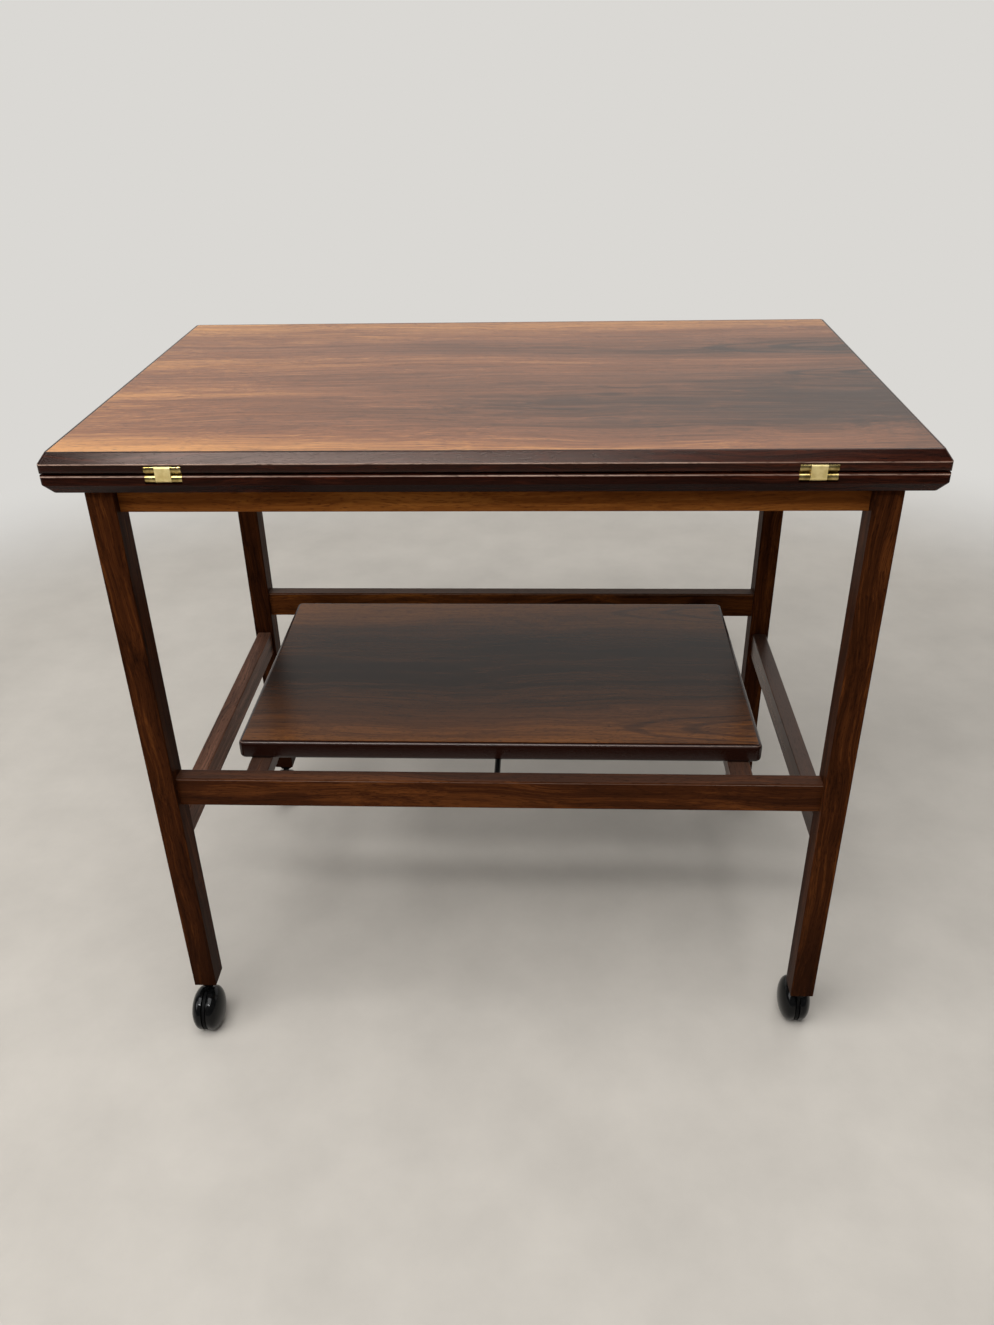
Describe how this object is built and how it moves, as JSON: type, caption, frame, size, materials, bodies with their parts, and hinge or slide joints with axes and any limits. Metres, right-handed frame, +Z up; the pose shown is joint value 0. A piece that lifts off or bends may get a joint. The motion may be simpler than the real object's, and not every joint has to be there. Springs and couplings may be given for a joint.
{
  "type": "tea trolley",
  "caption": "Rosewood tea trolley on casters with a fixed lower tray and a fold-over top that slides back and flips open to twice its area.",
  "frame": {"origin": "on the floor under the centre of the trolley", "axes": "+X along the length, +Y to the back, away from the hinged edge, +Z up"},
  "size_m": [0.73, 0.4836, 0.6646],
  "materials": {
    "leg_wood": "oiled rosewood, grain upright",
    "apron_wood": "oiled lighter rosewood, grain along the length",
    "end_apron_wood": "oiled wood, grain front to back",
    "stretcher_wood": "oiled rosewood, grain along the length",
    "side_stretcher_wood": "oiled rosewood, grain front to back",
    "tray_wood": "polished rosewood veneer",
    "top_veneer": "polished rosewood veneer with dark streaks",
    "lower_veneer": "polished rosewood veneer",
    "lipping_long": "polished dark rosewood",
    "lipping_short": "polished dark rosewood",
    "brass": "polished brass",
    "screw_steel": "plain steel",
    "rod_black": "black lacquer",
    "wheel_black": "glossy black",
    "yoke_black": "black",
    "caster_steel": "plain steel"
  },
  "bodies": {
    "frame": {"leg_front_left": "leg_wood", "leg_front_right": "leg_wood", "leg_back_left": "leg_wood", "leg_back_right": "leg_wood", "apron_front": "apron_wood", "apron_back": "apron_wood", "apron_left": "end_apron_wood", "apron_right": "end_apron_wood", "stretcher_front": "stretcher_wood", "stretcher_back": "stretcher_wood", "stretcher_left": "side_stretcher_wood", "stretcher_right": "side_stretcher_wood", "tray_rail_left": "side_stretcher_wood", "tray_rail_right": "side_stretcher_wood", "tray_rod": "rod_black", "tray_board": "tray_wood", "tray_screws": "screw_steel", "caster_sockets": "caster_steel"},
    "lower_leaf": {"lower_leaf_panel": "lower_veneer", "lower_leaf_lipping_front": "lipping_long", "lower_leaf_lipping_back": "lipping_long", "lower_leaf_lipping_left": "lipping_short", "lower_leaf_lipping_right": "lipping_short", "lower_hinge_plates": "brass", "lower_hinge_pins": "brass", "lower_hinge_screws": "brass", "runner_left": "end_apron_wood", "runner_right": "end_apron_wood", "runner_screws": "screw_steel"},
    "links": {"hinge_links": "brass"},
    "upper_leaf": {"upper_leaf_panel": "top_veneer", "upper_leaf_lipping_front": "lipping_long", "upper_leaf_lipping_back": "lipping_long", "upper_leaf_lipping_left": "lipping_short", "upper_leaf_lipping_right": "lipping_short", "upper_hinge_plates": "brass", "upper_hinge_pins": "brass", "upper_hinge_screws": "brass"},
    "caster_front_left": {"caster_front_left_stem": "caster_steel", "caster_front_left_yoke": "yoke_black"},
    "wheels_front_left": {"caster_front_left_wheels": "wheel_black", "caster_front_left_axle": "caster_steel"},
    "caster_front_right": {"caster_front_right_stem": "caster_steel", "caster_front_right_yoke": "yoke_black"},
    "wheels_front_right": {"caster_front_right_wheels": "wheel_black", "caster_front_right_axle": "caster_steel"},
    "caster_back_left": {"caster_back_left_stem": "caster_steel", "caster_back_left_yoke": "yoke_black"},
    "wheels_back_left": {"caster_back_left_wheels": "wheel_black", "caster_back_left_axle": "caster_steel"},
    "caster_back_right": {"caster_back_right_stem": "caster_steel", "caster_back_right_yoke": "yoke_black"},
    "wheels_back_right": {"caster_back_right_wheels": "wheel_black", "caster_back_right_axle": "caster_steel"}
  },
  "joints": [
    {"name": "top_slide", "type": "slide", "parent": "frame", "child": "lower_leaf", "axis": [0, 1, 0], "range_m": [0, 0.227]},
    {"name": "link_swing", "type": "hinge", "parent": "lower_leaf", "child": "links", "pos_m": [0, -0.2232, 0.6432], "axis": [1, 0, 0], "range_deg": [0, 90]},
    {"name": "leaf_fold", "type": "hinge", "parent": "links", "child": "upper_leaf", "pos_m": [0, -0.2232, 0.6514], "axis": [1, 0, 0], "range_deg": [0, 90]},
    {"name": "swivel_front_left", "type": "hinge", "parent": "frame", "child": "caster_front_left", "pos_m": [-0.323, -0.203, 0.056], "axis": [0, 0, 1], "continuous": true},
    {"name": "roll_front_left", "type": "hinge", "parent": "caster_front_left", "child": "wheels_front_left", "pos_m": [-0.323, -0.2178, 0.024], "axis": [1, 0, 0], "continuous": true},
    {"name": "swivel_front_right", "type": "hinge", "parent": "frame", "child": "caster_front_right", "pos_m": [0.323, -0.203, 0.056], "axis": [0, 0, 1], "continuous": true},
    {"name": "roll_front_right", "type": "hinge", "parent": "caster_front_right", "child": "wheels_front_right", "pos_m": [0.323, -0.1882, 0.024], "axis": [1, 0, 0], "continuous": true},
    {"name": "swivel_back_left", "type": "hinge", "parent": "frame", "child": "caster_back_left", "pos_m": [-0.323, 0.203, 0.056], "axis": [0, 0, 1], "continuous": true},
    {"name": "roll_back_left", "type": "hinge", "parent": "caster_back_left", "child": "wheels_back_left", "pos_m": [-0.323, 0.1882, 0.024], "axis": [1, 0, 0], "continuous": true},
    {"name": "swivel_back_right", "type": "hinge", "parent": "frame", "child": "caster_back_right", "pos_m": [0.323, 0.203, 0.056], "axis": [0, 0, 1], "continuous": true},
    {"name": "roll_back_right", "type": "hinge", "parent": "caster_back_right", "child": "wheels_back_right", "pos_m": [0.323, 0.2178, 0.024], "axis": [1, 0, 0], "continuous": true}
  ],
  "couplings": [
    {"joint": "link_swing", "follows": "leaf_fold", "ratio": 1}
  ]
}
